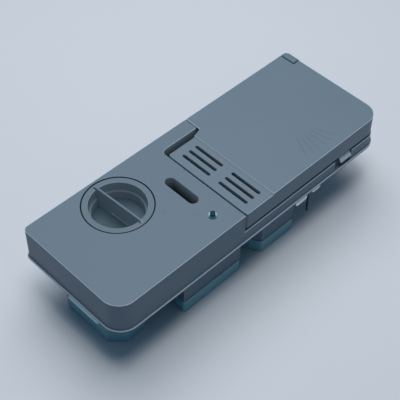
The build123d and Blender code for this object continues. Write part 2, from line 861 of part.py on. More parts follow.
# Rinse-aid cap: a flanged cup with a finger fin across it and two bayonet lugs
with BuildPart() as rinse_aid_cap:
    z_cap = z_top - cup_depth - cap_floor
    post(cap_x, cap_y, cap_radius, z_top - cap_flange, z_top)
    fillet(rinse_aid_cap.edges().group_by(Axis.Z)[-1], radius=top_round)
    post(cap_x, cap_y, cap_skirt_radius, z_cap, z_top - cap_flange)
    post(cap_x, cap_y, cup_mouth, z_top - cup_mouth_depth, z_top, Mode.SUBTRACT)
    fillet(rinse_aid_cap.edges().group_by(Axis.Z)[-1].sort_by(SortBy.RADIUS)[0], radius=top_round)
    post(cap_x, cap_y, cup_mouth - cup_ledge, z_top - cup_depth, z_top - cup_mouth_depth, Mode.SUBTRACT)
    add(cap_fin())
    z_lug = z_bayonet - bayonet_thick - lug_clearance - lug_thick
    with BuildSketch(Plane.XY.offset(z_lug)):
        with Locations((cap_x, cap_y)):
            Circle(cap_skirt_radius + lug_reach)
            Rectangle(lug_width, 2 * cap_radius, mode=Mode.INTERSECT)
            Circle(cap_skirt_radius - cap_floor / 2, mode=Mode.SUBTRACT)
    extrude(amount=lug_thick)
finish(rinse_aid_cap, "rinse_aid_cap")

# Cap seal: an O-ring round the cap's skirt inside the filler neck
with BuildPart() as cap_seal:
    with Locations((cap_x, cap_y, z_top - cap_seal_drop)):
        Torus(cap_skirt_radius + cap_seal_section, cap_seal_section)
finish(cap_seal, "cap_seal")

# Dosage dial: a knob with a grip on the neck floor and a shaft through it
with BuildPart() as dosage_dial:
    z_dial = z_roof + dial_lift
    post(cap_x, cap_y, dial_radius, z_dial, z_dial + dial_thick)
    post(cap_x, cap_y, dial_shaft, z_skirt - dial_shaft_drop, z_dial)
    block(cap_x - dial_radius * 0.85, cap_x + dial_radius * 0.85, cap_y - dial_grip_thick / 2,
          cap_y + dial_grip_thick / 2, z_dial + dial_thick, z_dial + dial_thick + dial_grip)
finish(dosage_dial, "dosage_dial")

# Level indicator: a clear light rod with a domed head on the deck
with BuildPart() as indicator_lens:
    with Locations((lens_x, lens_y, z_top + lens_rise - lens_radius)):
        Sphere(lens_radius)
    block(lens_x - lens_radius, lens_x + lens_radius, lens_y - lens_radius, lens_y + lens_radius,
          z_top - lens_radius, z_top, Mode.SUBTRACT)
    post(lens_x, lens_y, lens_stem, z_top + lens_rise - lens_length, z_top)
    chamfer(indicator_lens.edges().group_by(Axis.Z)[0], length=lens_stem / 2)
finish(indicator_lens, "indicator_lens")

# Rinse-aid tank: a stepped pan welded round the rib, with the float's guide post
with BuildPart() as rinse_aid_tank:
    with BuildSketch():
        add(tank_face(0))
    extrude(amount=z_skirt)
    fillet(rinse_aid_tank.edges().group_by(Axis.Z)[0], radius=tank_round)
    with BuildSketch(Plane.XY.offset(z_skirt - tank_flange_thick)):
        add(tank_face(tank_flange))
    extrude(amount=tank_flange_thick)
    with BuildSketch(Plane.XY.offset(tank_wall)):
        add(tank_face(-tank_wall))
    extrude(amount=z_skirt - tank_wall, mode=Mode.SUBTRACT)
    post(float_x, float_y, float_post, tank_wall / 2, z_skirt - weld_rib_height)
    rod(tank_step_x - tank_wall, tank_step_x, link_y, link_z, link_bore, Mode.SUBTRACT)
finish(rinse_aid_tank, "rinse_aid_tank")

# Link pipe: carries rinse aid from the tank to the dosing box
link_end = box_edges(dosing_box, box_inset)[0]
with BuildPart() as link_pipe:
    rod(tank_step_x, link_end, link_y, link_z, link_radius)
    rod(tank_step_x, link_end, link_y, link_z, link_bore, Mode.SUBTRACT)
finish(link_pipe, "link_pipe")

# Level float: a buoyant ring on the post with a ring magnet let into its top
z_float = tank_wall + float_rest
with BuildPart() as level_float:
    post(float_x, float_y, float_radius, z_float, z_float + float_height)
    fillet(level_float.edges(), radius=top_round)
    post(float_x, float_y, float_bore, z_float, z_float + float_height, Mode.SUBTRACT)
    z_magnet = z_float + float_height - magnet_thick
    with BuildSketch(Plane.XY.offset(z_magnet)):
        with Locations((float_x, float_y)):
            Circle(magnet_out + magnet_play)
            Circle(magnet_in - magnet_play, mode=Mode.SUBTRACT)
    extrude(amount=magnet_thick, mode=Mode.SUBTRACT)
finish(level_float, "level_float")

with BuildPart() as float_magnet:
    with BuildSketch(Plane.XY.offset(z_magnet)):
        with Locations((float_x, float_y)):
            Circle(magnet_out)
            Circle(magnet_in, mode=Mode.SUBTRACT)
    extrude(amount=magnet_thick)
finish(float_magnet, "float_magnet")

# Reed switch: a small housing with two leads against the tank's inner corner
with BuildPart() as reed_switch:
    block(reed_x - reed_wide / 2, reed_x + reed_wide / 2, tank_step_y - reed_wide, tank_step_y, reed_z,
          reed_z + reed_long)
    for side in (-1, 1):
        lead_x = reed_x + side * reed_wide / 4
        post(lead_x, tank_step_y - reed_wide / 2, reed_lead_radius, reed_z - reed_lead, reed_z)
finish(reed_switch, "reed_switch")


def pan(box):
    """A rear cover: a shallow pan with two countersunk screw holes."""
    with BuildPart() as cover:
        with BuildSketch():
            add(box_face(box, 0))
        extrude(amount=cover_height)
        fillet(cover.edges().filter_by(Axis.Z), radius=cover_corner)
        fillet(cover.edges().group_by(Axis.Z)[0], radius=cover_round)
        with BuildSketch(Plane.XY.offset(cover_floor)):
            add(box_face(box, cover_lip - cover_fit))
        extrude(amount=cover_height - cover_floor, mode=Mode.SUBTRACT)
        for x, y in screw_places(box):
            post(x, y, screw_core + cover_fit, 0, cover_floor, Mode.SUBTRACT)
            post(x, y, counterbore, 0, counterbore_depth, Mode.SUBTRACT)
    return cover.part


# Rear covers: one closes the dosing box, one closes the drive box and carries the solenoid on two pads
with BuildPart() as dosing_cover:
    add(pan(dosing_box))
finish(dosing_cover, "dosing_cover")

yoke_x0 = box_edges(drive_box, cover_lip + box_wall)[0] + yoke_gap
yoke_x1 = box_edges(drive_box, cover_lip + box_wall)[1] - yoke_gap
z_yoke = coil_z - yoke_height / 2
with BuildPart() as actuator_cover:
    add(pan(drive_box))
    for side in (-1, 1):
        y0 = coil_y + side * (yoke_width / 2 - pad_width) - pad_width / 2
        block(yoke_x0 + pad_width, yoke_x1 - pad_width, y0, y0 + pad_width, cover_floor, z_yoke)
finish(actuator_cover, "actuator_cover")

# Cover screws: four pan-head screws up into the box bosses
with BuildPart() as cover_screws:
    for x, y in screw_places(dosing_box) + screw_places(drive_box):
        post(x, y, screw_head, counterbore_depth - screw_head_thick, counterbore_depth)
        post(x, y, screw_core, counterbore_depth, cover_floor + screw_length - screw_tip)
        block(x - screw_head * 0.7, x + screw_head * 0.7, y - screw_slot / 2, y + screw_slot / 2,
              0, counterbore_depth - screw_head_thick / 2, Mode.SUBTRACT)
finish(cover_screws, "cover_screws")

# Dosing piston: a disc in the cylinder with a slanted follower that rides the drive slide's ramp
ramp_low = z_cylinder - ramp_room - ramp_rate * (follower_long / 2 + latch_travel + ramp_room)
with BuildPart() as dosing_piston:
    post(pocket_x, piston_y, piston_bore - piston_clearance, z_piston, z_piston + piston_thick)
    with BuildSketch(Plane(origin=(pocket_x, piston_y, 0), x_dir=(1, 0, 0), z_dir=(0, -1, 0))):
        with BuildLine():
            Polyline(
                (-follower_long / 2, z_piston + piston_thick / 2),
                (-follower_long / 2, ramp_low + ramp_gap - ramp_rate * follower_long / 2),
                (follower_long / 2, ramp_low + ramp_gap + ramp_rate * follower_long / 2),
                (follower_long / 2, z_piston + piston_thick / 2),
                close=True,
            )
        make_face()
    extrude(amount=follower_wide / 2, both=True)
finish(dosing_piston, "dosing_piston")

z_head = z_piston + piston_thick
with BuildPart() as piston_seal:
    post(pocket_x, piston_y, piston_bore - piston_clearance / 4, z_head, z_head + seal_lip)
    post(pocket_x, piston_y, piston_bore - 2 * seal_lip, z_head, z_head + seal_lip, Mode.SUBTRACT)
finish(piston_seal, "piston_seal")

with BuildPart() as piston_spring:
    coil_start = (pocket_x, piston_y, z_head + piston_wire)
    coil_long = z_skirt - z_head - 2 * piston_wire
    add(coil(coil_start, (0, 0, 1), piston_coil, piston_wire, piston_coil_turns, coil_long)[0])
finish(piston_spring, "piston_spring")

# Outlet valve: a soft umbrella over the hole in the outlet pocket
with BuildPart() as outlet_valve:
    post(pocket_x, piston_y, valve_radius, z_pocket, z_pocket + valve_thick)
    fillet(outlet_valve.edges().group_by(Axis.Z)[-1], radius=valve_thick * 0.8)
    post(pocket_x, piston_y, outlet_hole - valve_play, z_skirt + valve_play, z_pocket)
finish(outlet_valve, "outlet_valve")

# Solenoid: a square steel yoke, a bobbin with a terminal plate, and its winding
bobbin_x0 = yoke_x0 + yoke_thick
bobbin_x1 = yoke_x1 - yoke_thick
with BuildPart() as solenoid_yoke:
    y0, y1 = coil_y - yoke_width / 2, coil_y + yoke_width / 2
    block(yoke_x0, yoke_x1, y0, y1, z_yoke, z_yoke + yoke_height)
    z0, z1 = z_yoke + yoke_thick, z_yoke + yoke_height - yoke_thick
    block(bobbin_x0, bobbin_x1, y0, y1, z0, z1, Mode.SUBTRACT)
    rod(bobbin_x1, yoke_x1, coil_y, coil_z, bobbin_bore, Mode.SUBTRACT)
finish(solenoid_yoke, "solenoid_yoke")

with BuildPart() as coil_bobbin:
    rod(bobbin_x0, bobbin_x1, coil_y, coil_z, bobbin_radius)
    rod(bobbin_x0, bobbin_x0 + bobbin_flange, coil_y, coil_z, bobbin_flange_radius)
    rod(bobbin_x1 - bobbin_flange, bobbin_x1, coil_y, coil_z, bobbin_flange_radius)
    z0, z1 = coil_z - bobbin_plate / 2, coil_z + bobbin_plate / 2
    block(bobbin_x1 - bobbin_flange, bobbin_x1, spade_y - spade_width * 0.7, coil_y, z0, z1)
    rod(bobbin_x0, bobbin_x1, coil_y, coil_z, bobbin_bore, Mode.SUBTRACT)
finish(coil_bobbin, "coil_bobbin")

with BuildPart() as coil_winding:
    rod(bobbin_x0 + bobbin_flange, bobbin_x1 - bobbin_flange, coil_y, coil_z, winding_radius)
    rod(bobbin_x0, bobbin_x1, coil_y, coil_z, bobbin_radius, Mode.SUBTRACT)
finish(coil_winding, "coil_winding")

with BuildPart() as spade_terminals:
    for z in spade_zs:
        block(bobbin_x1, drive_wall_x + spade_out, spade_y - spade_width / 2, spade_y + spade_width / 2,
              z - spade_thick / 2, z + spade_thick / 2)
finish(spade_terminals, "spade_terminals")

# Plunger: a steel rod through the coil with a groove for the drive slide's fork
plunger_end = drive_wall_x + plunger_out
groove_x = plunger_end - plunger_head - plunger_groove
with BuildPart() as plunger:
    rod(bobbin_x0 + latch_travel + yoke_gap, groove_x, coil_y, coil_z, plunger_radius)
    rod(groove_x, groove_x + plunger_groove, coil_y, coil_z, plunger_neck)
    rod(groove_x + plunger_groove, plunger_end, coil_y, coil_z, plunger_radius)
finish(plunger, "plunger")

with BuildPart() as plunger_spring:
    coil_start = (drive_wall_x + plunger_wire, coil_y, coil_z)
    coil_long = groove_x - drive_wall_x - 2 * plunger_wire
    add(coil(coil_start, (1, 0, 0), plunger_coil, plunger_wire, plunger_coil_turns, coil_long)[0])
finish(plunger_spring, "plunger_spring")

# Drive slide: a bar under the cups with the plunger's fork, the piston's ramp and the latch arm
with BuildPart() as drive_slide:
    bar_y0, bar_y1 = slide_y - slide_width / 2, slide_y + slide_width / 2
    ramp_x0 = pocket_x - follower_long / 2 - ramp_room
    ramp_x1 = pocket_x + follower_long / 2 + latch_travel + ramp_room
    with BuildSketch(Plane(origin=(0, slide_y, 0), x_dir=(1, 0, 0), z_dir=(0, -1, 0))):
        with BuildLine():
            Polyline(
                (ramp_x0, slide_z - slide_thick),
                (ramp_x1, slide_z - slide_thick),
                (ramp_x1, ramp_low + ramp_rate * (ramp_x1 - pocket_x)),
                (ramp_x0, ramp_low + ramp_rate * (ramp_x0 - pocket_x)),
                close=True,
            )
        make_face()
    extrude(amount=slide_width / 2, both=True)
    block(ramp_x1, arm_x + arm_width, bar_y0, bar_y1, slide_z, slide_top)
    fork_x0, fork_x1 = groove_x + fork_play, groove_x + plunger_groove - fork_play
    block(fork_x0, fork_x1, coil_y - fork_wide / 2, bar_y0, slide_z, slide_top)
    fork_z0 = coil_z - fork_wide / 2
    block(fork_x0, fork_x1, coil_y - fork_wide / 2, coil_y + fork_wide / 2, fork_z0, slide_z)
    rod(fork_x0, fork_x1, coil_y, coil_z, plunger_neck + fork_play, Mode.SUBTRACT)
    block(fork_x0, fork_x1, coil_y - plunger_neck - fork_play, coil_y + plunger_neck + fork_play,
          fork_z0, coil_z, Mode.SUBTRACT)
    block(arm_x, arm_x + arm_width, leg_y1, bar_y0, slide_z, slide_top)
    block(arm_x, arm_x + arm_width, leg_y1, leg_y1 + arm_post, slide_z, arm_top)
    block(arm_x, tongue_x + latch_leg, leg_y0, leg_y1 + arm_post, arm_top - slide_thick, arm_top)
finish(drive_slide, "drive_slide")

# Latch slide: the tongue in the near rim on a leg that stands on the drive slide's arm
with BuildPart() as latch_slide:
    tongue_y = y_near - tongue_out
    with BuildSketch(Plane(origin=(tongue_x, 0, 0), x_dir=(0, 1, 0), z_dir=(1, 0, 0))):
        with BuildLine():
            Polyline(
                (tongue_y, z_tongue - tongue_thick),
                (tongue_y, z_tongue - tongue_slope_drop),
                (tongue_y + tongue_slope_in, z_tongue),
                (leg_y1, z_tongue),
                (leg_y1, z_tongue - tongue_thick),
                close=True,
            )
        make_face()
    extrude(amount=tongue_length)
    block(tongue_x, tongue_x + latch_leg, leg_y0, leg_y1, arm_top, z_tongue - tongue_thick)
finish(latch_slide, "latch_slide")

# Flange gasket: a soft ring under the skirt, against the door panel
with BuildPart() as flange_gasket:
    with BuildSketch(Plane.XY.offset(z_skirt - gasket_thick)):
        add(plan_face(gasket_out))
        add(plan_face(-gasket_in), mode=Mode.SUBTRACT)
    extrude(amount=gasket_thick)
finish(flange_gasket, "flange_gasket")


def clip(side):
    """A steel retaining clip on the inside of a long skirt, with tongues that grip the door panel."""
    y0, y1 = sorted((side * (y_far - wall), side * (y_far - wall - clip_sheet)))
    with BuildPart() as sheet:
        block(clip_x, clip_x + clip_length, y0, y1, clip_low, clip_high)
        for x0, x1, z0 in clip_tongues:
            block(clip_x + x0, clip_x + x1, y0, y1, z0, clip_low)
            tips = sheet.edges().filter_by(Axis.Y).filter_by_position(Axis.Z, z0, z0)
            fillet(tips, radius=min(clip_tongue_round, (x1 - x0) / 2.5))
        for x in clip_pegs:
            with Locations((clip_x + x, (y0 + y1) / 2, (clip_low + clip_high) / 2)):
                Cylinder(clip_peg + clip_peg_play, clip_sheet, rotation=(90, 0, 0), mode=Mode.SUBTRACT)
    return sheet.part


with BuildPart() as near_clip:
    add(clip(-1))
finish(near_clip, "near_clip")

with BuildPart() as far_clip:
    add(clip(1))
finish(far_clip, "far_clip")

# Left clip: a steel angle under the left end, with its edge just showing below the lip
with BuildPart() as left_clip:
    clip_x0 = x_left + left_clip_in
    clip_y0 = y_near + left_clip_from_near
    clip_y1 = clip_y0 + left_clip_length
    block(clip_x0, clip_x0 + clip_sheet, clip_y0, clip_y1, z_skirt - left_clip_drop, z_skirt)
    block(clip_x0, clip_x0 + left_clip_foot, clip_y0, clip_y1, z_skirt - clip_sheet, z_skirt)
finish(left_clip, "left_clip")
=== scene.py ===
import math

import bpy
from mathutils import Matrix, Vector


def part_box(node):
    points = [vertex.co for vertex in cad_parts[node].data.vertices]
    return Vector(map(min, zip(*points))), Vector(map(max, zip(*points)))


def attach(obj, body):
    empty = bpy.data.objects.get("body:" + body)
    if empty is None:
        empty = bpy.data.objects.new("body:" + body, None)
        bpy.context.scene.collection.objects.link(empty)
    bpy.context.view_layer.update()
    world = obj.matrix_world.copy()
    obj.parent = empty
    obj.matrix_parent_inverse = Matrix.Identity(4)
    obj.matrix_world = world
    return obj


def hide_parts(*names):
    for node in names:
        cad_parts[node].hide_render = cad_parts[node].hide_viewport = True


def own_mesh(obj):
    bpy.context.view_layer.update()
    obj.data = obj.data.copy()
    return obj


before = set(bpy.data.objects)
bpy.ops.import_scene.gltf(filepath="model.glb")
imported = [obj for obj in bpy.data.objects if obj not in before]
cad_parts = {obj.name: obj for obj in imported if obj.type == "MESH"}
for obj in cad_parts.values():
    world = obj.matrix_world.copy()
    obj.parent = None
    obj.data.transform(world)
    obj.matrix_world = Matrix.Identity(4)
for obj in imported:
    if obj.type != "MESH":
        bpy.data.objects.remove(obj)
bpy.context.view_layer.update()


# Studio: the camera stands where the photograph was taken, above and in front of the near left corner.
# A wide soft box hangs over the far side and a small one over the near edge, so the deck is lit evenly
# and the upright walls fall into shade. The table is pale and plain.
scene = bpy.context.scene
scene.view_settings.view_transform = "Standard"

camera_data = bpy.data.cameras.new("photo_camera")
camera_data.sensor_width = 36.0
camera_data.lens = 92.76
camera_data.clip_start = 0.02
camera_data.clip_end = 20.0
camera = bpy.data.objects.new("photo_camera", camera_data)
scene.collection.objects.link(camera)
look = Vector((0.4675, 0.4661, -0.7512)).normalized()
camera_up = Vector((0.521, 0.5412, 0.660))
camera_up = (camera_up - camera_up.dot(look) * look).normalized()
camera.matrix_world = Matrix((look.cross(camera_up), camera_up, -look)).transposed().to_4x4()
camera.location = (-0.3286, -0.3175, 0.5498)
scene.camera = camera


class Value:
    """A shader value that can be added, scaled and compared like a number."""

    def __init__(self, tree, socket):
        self.tree = tree
        self.socket = socket

    def _math(self, operation, *terms):
        node = self.tree.nodes.new("ShaderNodeMath")
        node.operation = operation
        for slot, term in zip(node.inputs, terms):
            if isinstance(term, Value):
                self.tree.links.new(term.socket, slot)
            else:
                slot.default_value = term
        return Value(self.tree, node.outputs[0])

    def __add__(self, other):
        return self._math("ADD", self, other)

    def __radd__(self, other):
        return self._math("ADD", other, self)

    def __sub__(self, other):
        return self._math("SUBTRACT", self, other)

    def __rsub__(self, other):
        return self._math("SUBTRACT", other, self)

    def __mul__(self, other):
        return self._math("MULTIPLY", self, other)

    def __rmul__(self, other):
        return self._math("MULTIPLY", other, self)

    def __abs__(self):
        return self._math("ABSOLUTE", self)

    def clamped(self):
        self.socket.node.use_clamp = True
        return self

    def over(self, start, slope):
        """0 up to start, then climbing to 1."""
        return ((self - start) * slope).clamped()

    def under(self, end, slope):
        """0 from end on, climbing to 1 below it."""
        return ((end - self) * slope).clamped()

    def highest(self, other):
        return self._math("MAXIMUM", self, other)


class Finish:
    """A material with one shader; add() makes any other node from its type, settings and sockets."""

    def __init__(self, name, **fixed):
        self.material = bpy.data.materials.new(name)
        self.material.use_nodes = True
        self.tree = self.material.node_tree
        self.shader = self.tree.nodes["Principled BSDF"]
        self.place = self.add("ShaderNodeTexCoord", out="Object")
        for socket, value in fixed.items():
            self.shader.inputs[socket.replace("_", " ")].default_value = value

    def add(self, kind, settings=(), out=0, **sockets):
        node = self.tree.nodes.new(kind)
        for name, value in dict(settings).items():
            setattr(node, name, value)
        for name, value in sockets.items():
            self.feed(node.inputs[name.replace("_", " ")], value)
        return Value(self.tree, node.outputs[out])

    def feed(self, slot, value):
        if isinstance(value, Value):
            self.tree.links.new(value.socket, slot)
        else:
            slot.default_value = value

    def drive(self, **sockets):
        for name, value in sockets.items():
            self.feed(self.shader.inputs[name.replace("_", " ")], value)

    def noise(self, scale, detail=2.0, rough=0.5):
        return self.add("ShaderNodeTexNoise", Vector=self.place, Scale=scale, Detail=detail,
                        Roughness=rough)

    def blend(self, factor, first, second):
        mixed = self.add("ShaderNodeMix", {"data_type": "RGBA"}, out=2)
        for index, value in ((0, factor), (6, first), (7, second)):
            self.feed(mixed.socket.node.inputs[index], value)
        return mixed

    def wear(self, node_name):
        """Puts the finish on a node of the frame."""
        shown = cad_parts[node_name]
        shown.data.materials.clear()
        shown.data.materials.append(self.material)


def soft_box(name, place, aim, size, watts):
    lamp = bpy.data.lights.new(name, "AREA")
    lamp.shape = "RECTANGLE"
    lamp.size, lamp.size_y = size
    lamp.energy = watts
    held = bpy.data.objects.new(name, lamp)
    held.location = place
    held.rotation_mode = "QUATERNION"
    held.rotation_quaternion = (Vector(aim) - Vector(place)).to_track_quat("-Z", "Y")
    scene.collection.objects.link(held)


soft_box("far_box", (0.25, 0.35, 1.00), (0, 0, 0), (0.9, 0.9), 8.0)
soft_box("overhead_box", (-0.06, -0.12, 1.15), (0, 0, 0), (0.4, 0.4), 4.2)

world = bpy.data.worlds.new("studio")
world.use_nodes = True
world.node_tree.nodes["Background"].inputs["Color"].default_value = (0.42, 0.69, 1.0, 1)
world.node_tree.nodes["Background"].inputs["Strength"].default_value = 0.20
scene.world = world

table_finish = Finish("pale_table", Roughness=0.6)
table_tone = table_finish.noise(6.0, 3.0)
table_finish.drive(Base_Color=table_finish.blend(table_tone, (0.58, 0.61, 0.65, 1), (0.61, 0.64, 0.67, 1)))
table_half, table_z = 3.0, -0.0002
table_corners = [(-table_half, -table_half, table_z), (table_half, -table_half, table_z)]
table_corners += [(table_half, table_half, table_z), (-table_half, table_half, table_z)]
table_mesh = bpy.data.meshes.new("table_top")
table_mesh.from_pydata(table_corners, [], [(0, 1, 2, 3)])
table_mesh.materials.append(table_finish.material)
table_top = bpy.data.objects.new("table_top", table_mesh)
scene.collection.objects.link(table_top)


# Front body: one large injection moulding of satin blue-grey polypropylene, its two cups included.
# The tool is spark-eroded, so the faces carry a fine even grain. The rounded upper edges are a little
# smoother than the flats and carry a painted highlight, paler than the flats.
def moulded(name, colour, roughness, lit_hollows=(), painted_wall_light=0.34, shade_below=0.0495, shaded_floor_below=None,
            scored=None, highlight_lift=0.34, gap_shade=None, dull=()):
    """Satin moulding with painted light and shade over its grain.

    Each lit hollow is the middle and the half sizes of a recess; its upright walls are painted pale
    as painted light, and dark as painted shade below the shade level. Below the shaded floor level a
    floor is painted dark as painted shade. scored gives the side and the height of engraved rays. The
    gap shade is the middle, radius and half width of a ring painted dark as the painted shadow of a gap.
    Outer corners and upward rounded fillets carry a painted highlight; each dull box, in x and then y,
    is kept free of it.
    """
    rounding, grain, corner_highlight_share, air_reach, crisp = 0.0004, 0.00002, 0.25, 0.0008, 5000.0
    painted_pit_shade, painted_gap_shade = (0.012, 0.019, 0.024, 1), (0.016, 0.030, 0.040, 1)
    painted_floor_shade = (0.036, 0.072, 0.098, 1)
    finish = Finish(name, Specular_IOR_Level=0.32)
    edge_normal = finish.add("ShaderNodeBevel", {"samples": 6}, Radius=rounding)
    true_normal = finish.add("ShaderNodeNewGeometry", out="True Normal")
    facing = finish.add("ShaderNodeVectorMath", {"operation": "DOT_PRODUCT"}, out="Value")
    for slot, normal in zip(facing.socket.node.inputs, (edge_normal, true_normal)):
        finish.feed(slot, normal)
    # Painted highlight: outer corners and upward rounded fillets are masked here and blended paler below.
    corner = ((1.0 - facing) * 9.0 - 0.06).clamped()
    open_air = finish.add("ShaderNodeAmbientOcclusion", {"samples": 4}, out="AO", Distance=air_reach)
    outer = corner * open_air.over(0.55, 3.0)
    own_normal = finish.add("ShaderNodeTexCoord", out="Normal")
    rise = finish.add("ShaderNodeSeparateXYZ", out="Z", Vector=own_normal)
    rounded = (rise * (1.0 - rise) * 4.0).over(0.25, 2.0)
    highlight_mask = rounded.highest(outer * corner_highlight_share)
    streak = finish.noise(22.0, 3.0, 0.55)
    speck = finish.noise(1900.0, 2.0, 0.6)
    pale = tuple(c * 1.10 + 0.004 for c in colour)
    dark = tuple(c * 0.93 for c in colour)
    painted_highlight = tuple(c * 1.6 + highlight_lift for c in colour)
    tone = finish.blend(streak * 0.7 + speck * 0.3, (*dark, 1), (*pale, 1))
    x, y, z = (finish.add("ShaderNodeSeparateXYZ", out=axis, Vector=finish.place) for axis in "XYZ")
    upright = (1.0 - abs(rise) * 4.0).clamped()
    # Painted light and shade in each lit hollow: upright walls painted pale, and dark below the shade level.
    for middle_x, middle_y, half_x, half_y in lit_hollows:
        across = (x - middle_x) * (1.0 / half_x)
        along = (y - middle_y) * (1.0 / half_y)
        hollow = ((1.0 - across * across - along * along) * 12.0).clamped() * upright
        lit_upper_wall = z.over(shade_below, 80.0)
        painted_lit_wall = (painted_wall_light, painted_wall_light * 1.16, painted_wall_light * 1.23, 1)
        tone = finish.blend(hollow, tone, finish.blend(lit_upper_wall, painted_pit_shade, painted_lit_wall))
    if scored:
        from_x, below_z = scored
        ray = z.under(below_z, 30000.0) * rise.over(0.9, 10.0) * x.over(from_x, 900.0)
        ray_tone = tuple(c * 0.4 for c in colour)
        tone = finish.blend(ray * 0.6, tone, (*ray_tone, 1))
    # Painted shade: floors below the shaded floor level are blended dark.
    if shaded_floor_below:
        floor_shade = z.under(shaded_floor_below, 1500.0) * (1.0 - upright)
        tone = finish.blend(floor_shade, tone, painted_floor_shade)
    # Painted shadow: a thin ring round the gap is painted dark and loses its painted highlight.
    if gap_shade:
        gap_x, gap_y, gap_radius, half_width = gap_shade
        out_x, out_y = x - gap_x, y - gap_y
        off = abs(out_x * out_x + out_y * out_y - gap_radius ** 2) * (0.5 / gap_radius)
        gap_shade_mask = off.under(half_width, 8000.0)
        tone = finish.blend(gap_shade_mask, tone, painted_gap_shade)
        highlight_mask = highlight_mask * (1.0 - gap_shade_mask)
    # Inside each dull box the painted highlight is left out.
    for low_x, high_x, low_y, high_y in dull:
        within = x.over(low_x, crisp) * x.under(high_x, crisp)
        within = within * y.over(low_y, crisp) * y.under(high_y, crisp)
        highlight_mask = highlight_mask * (1.0 - within)
    finish.drive(Base_Color=finish.blend(highlight_mask, tone, (*painted_highlight, 1)))
    finish.drive(Roughness=roughness + (streak - 0.5) * 0.10 + (speck - 0.5) * 0.12 - highlight_mask * 0.10)
    bump = finish.add("ShaderNodeBump", Strength=0.5, Distance=grain, Height=speck, Normal=edge_normal)
    finish.drive(Normal=bump)
    return finish


# The outlet pocket and the strip gap get walls painted pale as painted light.
outlet_pocket = (-0.0278, -0.0010, 0.0090, 0.0200)
strip_gap = (0.0025, 0.0340, 0.0200, 0.0060)
# A ring painted dark as the painted shadow of the gap round the rinse-aid cap.
cap_gap_shade = (-0.0648, 0.0182, 0.0234, 0.00055)
# The hinge block keeps no painted highlight.
hinge_block = (0.1125, 0.1250, 0.0305, 0.0500)
grey_moulding = moulded("grey_moulding", (0.103, 0.154, 0.200), 0.46, lit_hollows=(outlet_pocket, strip_gap),
                        painted_wall_light=0.46, gap_shade=cap_gap_shade, dull=(hinge_block,))
for moulding in ("front_body", "main_cup", "prewash_cup"):
    grey_moulding.wear(moulding)


# Stiffening ribs: drafted gussets moulded with the front body, under the lid well and against the skirt.
# A row runs along the far skirt on each side of the clip, and a short row stands at the near skirt.
class Tree:
    """A Geometry Nodes tree with named inputs for its sizes."""

    def __init__(self, name, **sizes):
        self.group = bpy.data.node_groups.new(name, "GeometryNodeTree")
        self.group.interface.new_socket("Geometry", in_out="OUTPUT", socket_type="NodeSocketGeometry")
        self.group.interface.new_socket("Geometry", in_out="INPUT", socket_type="NodeSocketGeometry")
        kinds = {int: "NodeSocketInt", float: "NodeSocketFloat", tuple: "NodeSocketVector"}
        self.sizes = sizes
        self.keys = {}
        for size, value in sizes.items():
            made = self.group.interface.new_socket(size, in_out="INPUT", socket_type=kinds[type(value)])
            self.keys[size] = made.identifier
        self.given = self.group.nodes.new("NodeGroupInput").outputs

    def add(self, kind, settings=(), out=0, **sockets):
        node = self.group.nodes.new(kind)
        for name, value in dict(settings).items():
            setattr(node, name, value)
        for name, value in sockets.items():
            slot = node.inputs[name.replace("_", " ")]
            if isinstance(value, bpy.types.NodeSocket):
                self.group.links.new(value, slot)
            else:
                slot.default_value = value
        return node.outputs[out]

    def piece(self, name, geometry, finish, body, seed_points=((0, 0, 0),), seed_edges=()):
        """Realises the tree as a plain mesh that rides on a body."""
        solid = self.add("GeometryNodeRealizeInstances", Geometry=geometry)
        dressed = self.add("GeometryNodeSetMaterial", Geometry=solid, Material=finish.material)
        self.group.links.new(dressed, self.group.nodes.new("NodeGroupOutput").inputs[0])
        points = bpy.data.meshes.new(name + ".points")
        points.from_pydata(seed_points, seed_edges, [])
        maker = bpy.data.objects.new(name + ".maker", points)
        scene.collection.objects.link(maker)
        modifier = maker.modifiers.new("tree", "NODES")
        modifier.node_group = self.group
        for size, value in self.sizes.items():
            modifier[self.keys[size]] = value
        settled = maker.evaluated_get(bpy.context.evaluated_depsgraph_get())
        mesh = bpy.data.meshes.new_from_object(settled)
        bpy.data.objects.remove(maker)
        shown = bpy.data.objects.new(name, mesh)
        scene.collection.objects.link(shown)
        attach(shown, body)
        return shown


def prism(name, section):
    """A form with the same outline on both sides; each corner is (y, z, half of its thickness along x)."""
    count = len(section)
    corners = [(-half, y, z) for y, z, half in section] + [(half, y, z) for y, z, half in section]
    sides = [(k, (k + 1) % count, count + (k + 1) % count, count + k) for k in range(count)]
    mesh = bpy.data.meshes.new(name)
    mesh.from_pydata(corners, [], [tuple(reversed(range(count))), tuple(range(count, 2 * count)), *sides])
    return bpy.data.objects.new(name, mesh)


def form_row(name, form, first, count, step, finish, body):
    """A row of equal forms from a first place, one step apart."""
    tree = Tree(name, Count=count, First=first, Step=step)
    line = tree.add("GeometryNodeMeshLine", Count=tree.given["Count"], Start_Location=tree.given["First"],
                    Offset=tree.given["Step"])
    source = tree.add("GeometryNodeObjectInfo", out="Geometry", Object=form)
    row = tree.add("GeometryNodeInstanceOnPoints", Points=line, Instance=source)
    tree.piece(name, row, finish, body)
    bpy.data.objects.remove(form)


def gusset(name, side, depth):
    """A drafted corner rib that hangs under the well floor against the skirt on one side."""
    rib_height, foot, base_half, tip_half = 0.0066, 0.0016, 0.0007, 0.0005
    section = [(0, 0, base_half), (-depth, 0, base_half), (-depth, -foot, base_half)]
    section += [(-foot, -rib_height, tip_half), (0, -rib_height, tip_half)]
    return prism(name, [(side * y, z, half) for y, z, half in section[::side]])


